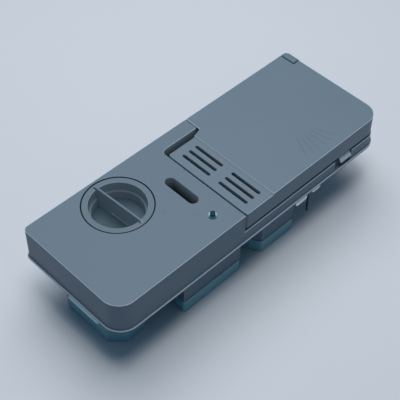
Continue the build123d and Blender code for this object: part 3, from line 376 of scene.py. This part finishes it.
well_floor_z = 0.0433
skirt_inside = 0.0416
rib_step = (0.0085, 0, 0)
far_reach, near_reach = 0.0066, 0.0044
form_row("ribs_far_left", gusset("rib_form", 1, far_reach), (0.0210, skirt_inside, well_floor_z), 2,
         rib_step, grey_moulding, "base")
form_row("ribs_far_right", gusset("rib_form", 1, far_reach), (0.0720, skirt_inside, well_floor_z), 5,
         rib_step, grey_moulding, "base")
form_row("ribs_near_left", gusset("rib_form", -1, near_reach), (0.0020, -skirt_inside, well_floor_z), 4,
         rib_step, grey_moulding, "base")


# Moulded marks: hairline strokes on the deck beside the cap and before the level window.
# They are steps of a few hundredths of a millimetre, left where inserts of the tool meet.
deck_z = 0.062
mark_width, mark_rise = 0.0003, 0.00003
mark_dark, mark_pale = (0.070, 0.112, 0.152, 1), (0.082, 0.130, 0.172, 1)


def strokes(name, lines, width, rise, finish, body):
    """Thin straight bars, each from one point to another, standing a little out of the face below them."""
    corners, faces = [], []
    for start, end in lines:
        start, end = Vector(start), Vector(end)
        across = (end - start).cross(Vector((0, 0, 1))).normalized() * width / 2
        first = len(corners)
        for lift in (-rise, rise):
            up = Vector((0, 0, lift))
            corners += [start - across + up, start + across + up, end + across + up, end - across + up]
        for quad in ((0, 3, 2, 1), (4, 5, 6, 7), (0, 1, 5, 4), (1, 2, 6, 5), (2, 3, 7, 6), (3, 0, 4, 7)):
            faces.append([first + k for k in quad])
    mesh = bpy.data.meshes.new(name)
    mesh.from_pydata(corners, [], faces)
    mesh.materials.append(finish.material)
    shown = bpy.data.objects.new(name, mesh)
    scene.collection.objects.link(shown)
    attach(shown, body)


mark_finish = Finish("mark_finish")
mark_tone = mark_finish.noise(400.0, 2.0)
mark_finish.drive(Base_Color=mark_finish.blend(mark_tone, mark_dark, mark_pale))
mark_finish.drive(Roughness=0.46 + mark_tone * 0.1)
mark_lines = [
    ((-0.0475, -0.0036, deck_z), (-0.0475, -0.0087, deck_z)),
    ((-0.0490, -0.0045, deck_z), (-0.0490, -0.0078, deck_z)),
    ((-0.0646, -0.0078, deck_z), (-0.0675, -0.0110, deck_z)),
    ((-0.0368, -0.0195, deck_z), (-0.0318, -0.0244, deck_z)),
]
strokes("deck_marks", mark_lines, mark_width, mark_rise, mark_finish, "base")


# Fill lines: three short raised beads on the far wall of the main cup, for the amount of powder.
# They are cut into the tool, so they come out with the cup in the same grey polypropylene.
cup_low, cup_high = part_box("main_cup")
cup_wall = 0.002
bead_root, bead_tip = 0.0060, 0.0056
bead = [(0.0003, -0.0004, bead_root), (0.0003, 0.0004, bead_root)]
bead += [(-0.0004, 0.0002, bead_tip), (-0.0004, -0.0002, bead_tip)]
fill_z, fill_step = 0.0425, (0.0, 0.0, 0.0032)
fill_start = ((cup_low[0] + cup_high[0]) / 2, cup_high[1] - cup_wall, fill_z)
form_row("fill_lines", prism("bead_form", bead[::-1]), fill_start, 3, fill_step, grey_moulding, "base")


# Lid: a second moulding of the same grey, a touch lighter, with a sunk grille over the prewash cup.
# It turns on a steel pin along the far edge, and a wire spring throws it open.
# Both rows of lid slots get walls painted pale as painted light.
far_slots = (0.00085, 0.0098, 0.0115, 0.0165)
near_slots = (0.00085, -0.0265, 0.0115, 0.0165)
# Along the lid's left side and in the block notch the painted highlight is left out.
left_edge = (-0.0130, -0.0113, -0.0500, 0.0500)
block_notch = (0.1105, 0.1250, 0.0290, 0.0500)
lid_moulding = moulded("lid_moulding", (0.111, 0.163, 0.209), 0.44, lit_hollows=(far_slots, near_slots),
                       scored=(0.030, 0.06197), dull=(left_edge, block_notch))
lid_moulding.wear("lid")


def elastomer(name, colour):
    """Dark rubber or polyamide with a dull bloom and fine pores."""
    finish = Finish(name)
    bloom = finish.noise(160.0, 4.0, 0.6)
    pore = finish.noise(2600.0, 1.0)
    pale = tuple(c * 1.8 + 0.006 for c in colour)
    finish.drive(Base_Color=finish.blend(bloom, (*colour, 1), (*pale, 1)), Roughness=0.60 + bloom * 0.2)
    finish.drive(Normal=finish.add("ShaderNodeBump", Strength=0.4, Distance=0.00002, Height=pore))
    return finish


black_seal = elastomer("black_seal", (0.016, 0.017, 0.019))
black_seal.wear("lid_seal")


def drawn_steel(name, colour, roughness, along):
    """Bright wire or rod with fine drawing lines along one axis."""
    finish = Finish(name, Metallic=1.0)
    stretch = tuple(60.0 if i == along else 4200.0 for i in range(3))
    drawn = finish.add("ShaderNodeMapping", Vector=finish.place, Scale=stretch)
    lines = finish.add("ShaderNodeTexNoise", Vector=drawn, Scale=1.0, Detail=2.0)
    pale = tuple(min(1.0, c * 1.12) for c in colour)
    finish.drive(Base_Color=finish.blend(lines, (*colour, 1), (*pale, 1)))
    finish.drive(Roughness=roughness + lines * 0.16)
    finish.drive(Normal=finish.add("ShaderNodeBump", Strength=0.3, Distance=0.000008, Height=lines))
    return finish


drawn_steel("pin_steel", (0.58, 0.59, 0.60), 0.20, 0).wear("hinge_pin")
spring_wire = drawn_steel("spring_wire", (0.50, 0.51, 0.53), 0.26, 1)
spring_wire.wear("lid_spring")


def bent_wire(name, route, radius, body):
    """Round spring wire along a route of points."""
    tree = Tree(name, Wire=radius)
    line = tree.add("GeometryNodeMeshToCurve", Mesh=tree.given["Geometry"])
    section = tree.add("GeometryNodeCurvePrimitiveCircle", Resolution=12, Radius=tree.given["Wire"])
    solid = tree.add("GeometryNodeCurveToMesh", Curve=line, Profile_Curve=section, Fill_Caps=True)
    edges = [(k, k + 1) for k in range(len(route) - 1)]
    shown = tree.piece(name, solid, spring_wire, body, route, edges)
    shown.data.shade_smooth()
    return shown


def coil_route(start, along, radius, turns, length):
    """Points of a helix that starts on the -Y side and climbs along X or Z."""
    steps = round(turns * 24)
    route = []
    for step in range(steps + 1):
        angle = 2 * math.pi * turns * step / steps
        round_y, round_up = -radius * math.cos(angle), radius * math.sin(angle)
        rise = length * step / steps
        turn = (rise, round_y, round_up) if along == "x" else (round_up, round_y, rise)
        route.append(tuple(s + t for s, t in zip(start, turn)))
    return route


spring_low, spring_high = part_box("lid_spring")
lid_wire, lid_coil, lid_turns = 0.00055, 0.0027, 8.25
well_leg_reach, well_leg_knee = 0.0090, 0.0012
pin_y, pin_z = (spring_high[i] - lid_coil - lid_wire for i in (1, 2))
coil_start = (spring_low[0] + lid_wire, pin_y, pin_z)
coil_end_x = spring_high[0] - lid_wire
leg_foot = (coil_start[0], pin_y - well_leg_reach, spring_low[2] + lid_wire)
well_leg = [leg_foot, (*leg_foot[:2], pin_z - well_leg_knee)]
lid_coil_route = coil_route(coil_start, "x", lid_coil, lid_turns, coil_end_x - coil_start[0])
lid_leg_route = [(coil_end_x, pin_y, pin_z + lid_coil), (coil_end_x, spring_low[1], pin_z + lid_coil)]
lid_coil_wire = bent_wire("lid_coil_wire", well_leg + lid_coil_route, lid_wire, "base")
bent_wire("lid_leg_wire", lid_leg_route, lid_wire, "lid")
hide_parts("lid_spring")


# Rinse-aid cap: a moulded grey cup with a drafted fin across it for the fingers, sealed by an O-ring.
# It twists a quarter turn in its ring. Under it the white acetal dosage dial turns in the filler neck.
cap_hollow = (-0.0648, 0.0182, 0.0212, 0.0212)
# Inside the cap: walls painted pale as painted light, the sunk floor painted dark as painted shade.
cap_moulding = moulded("cap_moulding", (0.098, 0.144, 0.186), 0.46, lit_hollows=(cap_hollow,), shade_below=0.030,
                       shaded_floor_below=0.0504, highlight_lift=0.16, gap_shade=cap_gap_shade)
cap_moulding.wear("rinse_aid_cap")
black_seal.wear("cap_seal")
# Painted highlight: a pale strip along the fin's foot stands in for light on a small fillet there.
fin_highlight = Finish("fin_highlight")
fin_highlight_noise = fin_highlight.noise(500.0, 2.0)
fin_highlight.drive(Base_Color=fin_highlight.blend(fin_highlight_noise, (0.30, 0.37, 0.41, 1), (0.36, 0.43, 0.47, 1)))
fin_highlight.drive(Roughness=0.35 + fin_highlight_noise * 0.1)
fin_highlight_line = ((-0.0670, 0.0226, 0.0520), (-0.0662, 0.0078, 0.0520))
fin_highlight_width, fin_highlight_rise = 0.00035, 0.0001
strokes("fin_crease", [fin_highlight_line], fin_highlight_width, fin_highlight_rise, fin_highlight, "cap")


def acetal(name, colour):
    """Natural acetal: a dense milky plastic with a low sheen."""
    finish = Finish(name, Subsurface_Weight=0.12, Subsurface_Scale=0.002)
    cloud = finish.noise(140.0, 3.0)
    fine = finish.noise(1500.0, 2.0)
    dark = tuple(c * 0.92 for c in colour)
    finish.drive(Base_Color=finish.blend(cloud, (*dark, 1), (*colour, 1)), Roughness=0.30 + fine * 0.12)
    finish.drive(Normal=finish.add("ShaderNodeBump", Strength=0.3, Distance=0.00001, Height=fine))
    return finish


white_acetal = acetal("white_acetal", (0.78, 0.78, 0.75))
white_acetal.wear("dosage_dial")


# Level window: a clear moulded acrylic rod whose dome stands on the deck beside the outlet pocket.
# Its colour is painted: dark teal as painted shade looking down into the tank, a pale painted highlight
# on each side and a blue foot in front painted as lit.
lens_low, lens_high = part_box("indicator_lens")
lens_radius = (lens_high[0] - lens_low[0]) / 2
lens_x, lens_y = (lens_low[0] + lens_high[0]) / 2, (lens_low[1] + lens_high[1]) / 2
dome_rise, diagonal = 0.0028, 0.707
lens_seat = lens_high[2] - dome_rise
clear_rod = Finish("clear_rod", IOR=1.49, Specular_IOR_Level=0.10)
haze = clear_rod.noise(300.0, 2.0)
rod_place = [clear_rod.add("ShaderNodeSeparateXYZ", out=axis, Vector=clear_rod.place) for axis in "XYZ"]
rod_x, rod_y, rod_z = rod_place
sideways = abs((rod_x - lens_x) - (rod_y - lens_y)) * (diagonal / lens_radius)
frontwards = ((lens_x - rod_x) + (lens_y - rod_y)) * (diagonal / lens_radius)
height = (rod_z - lens_seat) * (1.0 / dome_rise)
# Painted light and shade: pale side highlights, a lit blue foot in front and a dark shaded centre.
side_highlight = (sideways + height * 0.40).over(0.76, 7.0) * height.under(0.90, 6.0)
foot = frontwards.over(0.30, 4.0) * height.under(0.60, 6.0)
lit_foot_tone, side_highlight_tone = (0.15, 0.31, 0.43, 1), (0.41, 0.61, 0.69, 1)
shaded_core = clear_rod.blend(haze, (0.003, 0.026, 0.040, 1), (0.007, 0.045, 0.064, 1))
shaded_core = clear_rod.blend(foot * 0.7, shaded_core, lit_foot_tone)
clear_rod.drive(Base_Color=clear_rod.blend(side_highlight, shaded_core, side_highlight_tone), Roughness=0.30 + haze * 0.05)
clear_rod.wear("indicator_lens")


# Rinse-aid tank and rear covers: thin mouldings of natural milky polypropylene.
# The tank and its link pipe are welded on behind the deck, and the two covers are screwed under the grey
# boxes that hold the dosing piston and the solenoid.
def milky(name, colour):
    """Natural polypropylene that lets a little light in and has a low gloss."""
    finish = Finish(name, Subsurface_Weight=0.35, Subsurface_Scale=0.004, Coat_Roughness=0.2)
    finish.shader.inputs["Subsurface Radius"].default_value = (0.8, 1.0, 1.0)
    edge_normal = finish.add("ShaderNodeBevel", {"samples": 6}, Radius=0.0004)
    cloud = finish.noise(35.0, 4.0, 0.55)
    fine = finish.noise(900.0, 2.0)
    pale = tuple(min(1.0, c * 1.15) for c in colour)
    finish.drive(Base_Color=finish.blend(cloud, (*colour, 1), (*pale, 1)), Roughness=0.26 + cloud * 0.14)
    bump = finish.add("ShaderNodeBump", Strength=0.35, Distance=0.00002, Height=fine, Normal=edge_normal)
    finish.drive(Normal=bump)
    return finish


# The dark teal base colour is painted shade and a painted blue reflection over the pale natural plastic.
milky_shell = milky("milky_shell", (0.12, 0.30, 0.36))
for shell in ("rinse_aid_tank", "link_pipe", "dosing_cover", "actuator_cover"):
    milky_shell.wear(shell)


# Level float: a closed-cell foam ring that rises in the tank and carries a sintered ferrite ring magnet.
# A reed switch in a black polyamide case, fixed outside the tank, closes when the magnet passes it.
foam = Finish("float_foam", Roughness=0.8)
cells = foam.add("ShaderNodeTexVoronoi", out="Distance", Vector=foam.place, Scale=900.0)
foam.drive(Base_Color=foam.blend(cells, (0.60, 0.59, 0.55, 1), (0.76, 0.75, 0.71, 1)))
foam.drive(Normal=foam.add("ShaderNodeBump", Strength=0.6, Distance=0.0001, Height=cells))
foam.wear("level_float")

ferrite = Finish("ferrite")
grit = ferrite.noise(1800.0, 3.0, 0.7)
ferrite.drive(Base_Color=ferrite.blend(grit, (0.018, 0.018, 0.020, 1), (0.060, 0.060, 0.062, 1)))
ferrite.drive(Roughness=0.45 + grit * 0.3)
ferrite.wear("float_magnet")

black_polyamide = elastomer("black_polyamide", (0.020, 0.020, 0.021))
black_polyamide.wear("reed_switch")


# Dosing piston: a white acetal disc with a soft rubber lip, pushed back by a coiled steel spring.
# It lifts a dose of rinse aid to the moulded rubber umbrella valve that is pulled into its seat above.
white_acetal.wear("dosing_piston")
black_seal.wear("piston_seal")
spring_wire.wear("piston_spring")
black_seal.wear("outlet_valve")
coil_low, coil_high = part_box("piston_spring")
piston_wire, piston_turns, piston_stroke = 0.0004, 3.0, 0.003
piston_coil = (coil_high[0] - coil_low[0]) / 2 - piston_wire
piston_long = coil_high[2] - coil_low[2]
piston_axis = ((coil_low[0] + coil_high[0]) / 2, (coil_low[1] + coil_high[1]) / 2)
piston_route = coil_route((*piston_axis, coil_low[2] + piston_wire), "z", piston_coil, piston_turns,
                          piston_long - 2 * piston_wire)
piston_coil_wire = bent_wire("piston_coil_wire", piston_route, piston_wire, "base")
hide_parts("piston_spring")
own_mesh(piston_coil_wire)


# Solenoid: a zinc-plated steel yoke bent round a black bobbin that is wound with enamelled copper wire.
# A bright steel plunger slides in the bobbin against a coiled return spring, and two spade terminals
# take the plug of the wiring.
def zinc_plate(name, colour, metal=1.0, prong_x=None):
    """Zinc-plated sheet with a faint spangle and handling marks; where it has a prong, painted shade on it.
    """
    prong_half, painted_prong_shade = 0.0013, (0.030, 0.050, 0.070, 1)
    finish = Finish(name, Metallic=metal)
    edge_normal = finish.add("ShaderNodeBevel", {"samples": 4}, Radius=0.00025)
    spangle = finish.add("ShaderNodeTexVoronoi", out="Color", Vector=finish.place, Scale=420.0)
    tone = finish.add("ShaderNodeSeparateColor", Color=spangle)
    smear = finish.noise(90.0, 4.0, 0.6)
    pale = tuple(min(1.0, c * 1.18) for c in colour)
    plating = finish.blend(tone * 0.5 + smear * 0.5, (*colour, 1), (*pale, 1))
    if prong_x:
        along = finish.add("ShaderNodeSeparateXYZ", out="X", Vector=finish.place)
        prong_shade = abs(along - prong_x).under(prong_half, 4000.0)
        plating = finish.blend(prong_shade, plating, painted_prong_shade)
    finish.drive(Base_Color=plating)
    finish.drive(Roughness=0.22 + tone * 0.10 + smear * 0.14)
    bump = finish.add("ShaderNodeBump", Strength=0.25, Distance=0.00001, Height=smear, Normal=edge_normal)
    finish.drive(Normal=bump)
    return finish


zinc = zinc_plate("zinc_plate", (0.68, 0.76, 0.82))
zinc.wear("solenoid_yoke")
zinc.wear("spade_terminals")
black_polyamide.wear("coil_bobbin")
drawn_steel("plunger_steel", (0.55, 0.56, 0.57), 0.24, 0).wear("plunger")
spring_wire.wear("plunger_spring")
coil_low, coil_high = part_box("plunger_spring")
plunger_wire, plunger_turns, plunger_stroke = 0.0004, 6.0, 0.005
plunger_coil = (coil_high[1] - coil_low[1]) / 2 - plunger_wire
plunger_long = coil_high[0] - coil_low[0]
plunger_axis = ((coil_low[1] + coil_high[1]) / 2, (coil_low[2] + coil_high[2]) / 2)
plunger_route = coil_route((coil_low[0] + plunger_wire, *plunger_axis), "x", plunger_coil, plunger_turns,
                           plunger_long - 2 * plunger_wire)
plunger_coil_wire = bent_wire("plunger_coil_wire", plunger_route, plunger_wire, "base")
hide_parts("plunger_spring")
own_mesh(plunger_coil_wire)

wire_turns = Finish("wire_turns", Metallic=1.0)
turns = wire_turns.add("ShaderNodeTexWave", {"wave_type": "BANDS", "bands_direction": "X"},
                       Vector=wire_turns.place, Scale=800.0)
wire_turns.drive(Base_Color=wire_turns.blend(turns, (0.20, 0.060, 0.018, 1), (0.62, 0.26, 0.10, 1)))
wire_turns.drive(Roughness=0.28 + turns * 0.1)
wire_turns.drive(Normal=wire_turns.add("ShaderNodeBump", Strength=0.8, Distance=0.0001, Height=turns))
wire_turns.wear("coil_winding")


# Drive slide and latch: a moulded white acetal bar under the cups, pulled along by the plunger.
# It carries the grey latch tongue, which stands in a notch of the near rim.
white_acetal.wear("drive_slide")
latch_moulding = moulded("latch_moulding", (0.128, 0.172, 0.204), 0.40)
latch_moulding.wear("latch_slide")


# Door side: a soft gasket under the flange and spring clips of zinc-plated strip that grip the door panel.
# Two clips are pegged to the long skirts. The third, at the left end, is a leaf bowed outwards under the
# flange; its back shows below the edge, painted bright with a paler, less metallic zinc as painted light
# in the flange's shade.
black_seal.wear("flange_gasket")
# Painted shade: a band at the prong's x is painted dark on the clip zinc.
clip_zinc = zinc_plate("clip_zinc", (0.74, 0.83, 0.90), prong_x=0.0530)
for spring_clip in ("near_clip", "far_clip", "left_clip"):
    clip_zinc.wear(spring_clip)

leaf_low, leaf_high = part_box("left_clip")
leaf_sheet, leaf_bow = 0.0010, 0.0021
leaf_steps, foot_steps, bow_power = 24, 3, 5
leaf_drop = leaf_high[2] - leaf_low[2]
leaf_section = []
for step in range(leaf_steps + 1):
    share = step / leaf_steps
    bowed = leaf_bow * math.sin(math.pi * share ** bow_power)
    leaf_section.append((leaf_low[0] - bowed, leaf_high[2] - share * leaf_drop))
leaf_section += [(x + leaf_sheet, z) for x, z in reversed(leaf_section[foot_steps:])]
leaf_section += [(leaf_high[0], leaf_high[2] - leaf_sheet), (leaf_high[0], leaf_high[2])]
leaf_count = len(leaf_section)
leaf_corners = [(x, y, z) for y in (leaf_low[1], leaf_high[1]) for x, z in leaf_section]
leaf_faces = [tuple(range(leaf_count)), tuple(reversed(range(leaf_count, 2 * leaf_count)))]
for k in range(leaf_count):
    after = (k + 1) % leaf_count
    leaf_faces.append((k, leaf_count + k, leaf_count + after, after))
leaf_mesh = bpy.data.meshes.new("left_leaf")
leaf_mesh.from_pydata(leaf_corners, [], leaf_faces)
# Painted light: a paler, less metallic copy of the clip zinc keeps the leaf's back bright in the flange's
# shade.
leaf_mesh.materials.append(zinc_plate("leaf_zinc_painted_light", (0.80, 0.90, 0.98), metal=0.25).material)
left_leaf = bpy.data.objects.new("left_leaf", leaf_mesh)
scene.collection.objects.link(left_leaf)
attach(left_leaf, "base")
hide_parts("left_clip")


# Cover screws: four zinc-plated pan-head screws with a cross recess, driven up into the box bosses.
# Each head sits in its counterbore with its face towards the table.
head_radius = 0.0028
head_seat = 0.0019
head_height = 0.0015
shank_radius = 0.0013
shank_end = 0.0125
recess_depth = 0.0010
recess_reach = 0.0015
recess_width, recess_edge = 0.00032, 0.00012
flat_share, dome_fall = 0.55, 2.2
sectors, rings = 72, 22


def head_face(x, y):
    """Height of the head's face over the table: a flat dome with a tapered cross cut into it."""
    out = math.hypot(x, y) / head_radius
    dome = head_seat - head_height * (1 - max(0.0, out - flat_share) ** 2 * dome_fall)
    deep = 0.0
    for along, across in ((abs(x), abs(y)), (abs(y), abs(x))):
        inside = min(1.0, max(0.0, (recess_width - across) / recess_edge + 0.5))
        deep = max(deep, inside * max(0.0, 1 - along / recess_reach) ** 0.5)
    return dome + deep * recess_depth


places = [(0.0, 0.0)]
for ring in range(1, rings + 1):
    for sector in range(sectors):
        angle = 2 * math.pi * sector / sectors
        reach = head_radius * ring / rings
        places.append((reach * math.cos(angle), reach * math.sin(angle)))
corners = [(x, y, head_face(x, y)) for x, y in places]
walls = [(0, 1 + (s + 1) % sectors, 1 + s) for s in range(sectors)]
for ring in range(rings - 1):
    for s in range(sectors):
        inner, outer = 1 + ring * sectors, 1 + (ring + 1) * sectors
        after = (s + 1) % sectors
        walls.append((inner + s, inner + after, outer + after, outer + s))
for radius, z in ((head_radius, head_seat), (shank_radius, head_seat), (shank_radius, shank_end)):
    last = len(corners) - sectors
    for s in range(sectors):
        angle = 2 * math.pi * s / sectors
        corners.append((radius * math.cos(angle), radius * math.sin(angle), z))
    for s in range(sectors):
        after = (s + 1) % sectors
        walls.append((last + s, last + after, last + sectors + after, last + sectors + s))
walls.append(tuple(range(len(corners) - sectors, len(corners))))
screw_mesh = bpy.data.meshes.new("screw_form")
screw_mesh.from_pydata(corners, [], walls)
screw_mesh.shade_smooth()
screw_form = bpy.data.objects.new("screw_form", screw_mesh)

boss_in = 0.0062
drive_cut = 0.0075
screw_points = []
for cover, shift in (("dosing_cover", 0.0), ("actuator_cover", drive_cut)):
    low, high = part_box(cover)
    screw_points.append((low[0] + boss_in + shift, low[1] + boss_in, 0))
    screw_points.append((high[0] - boss_in, high[1] - boss_in, 0))
screw_tree = Tree("screw_row", Turn=0.4)
screw_source = screw_tree.add("GeometryNodeObjectInfo", out="Geometry", Object=screw_form)
screw_turn = screw_tree.add("ShaderNodeCombineXYZ", Z=screw_tree.given["Turn"])
screw_rows = screw_tree.add("GeometryNodeInstanceOnPoints", Points=screw_tree.given["Geometry"],
                            Instance=screw_source, Rotation=screw_turn)
driven_screws = screw_tree.piece("driven_screws", screw_rows, zinc, "base", screw_points)
bpy.data.objects.remove(screw_form)
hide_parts("cover_screws")
zinc.wear("cover_screws")
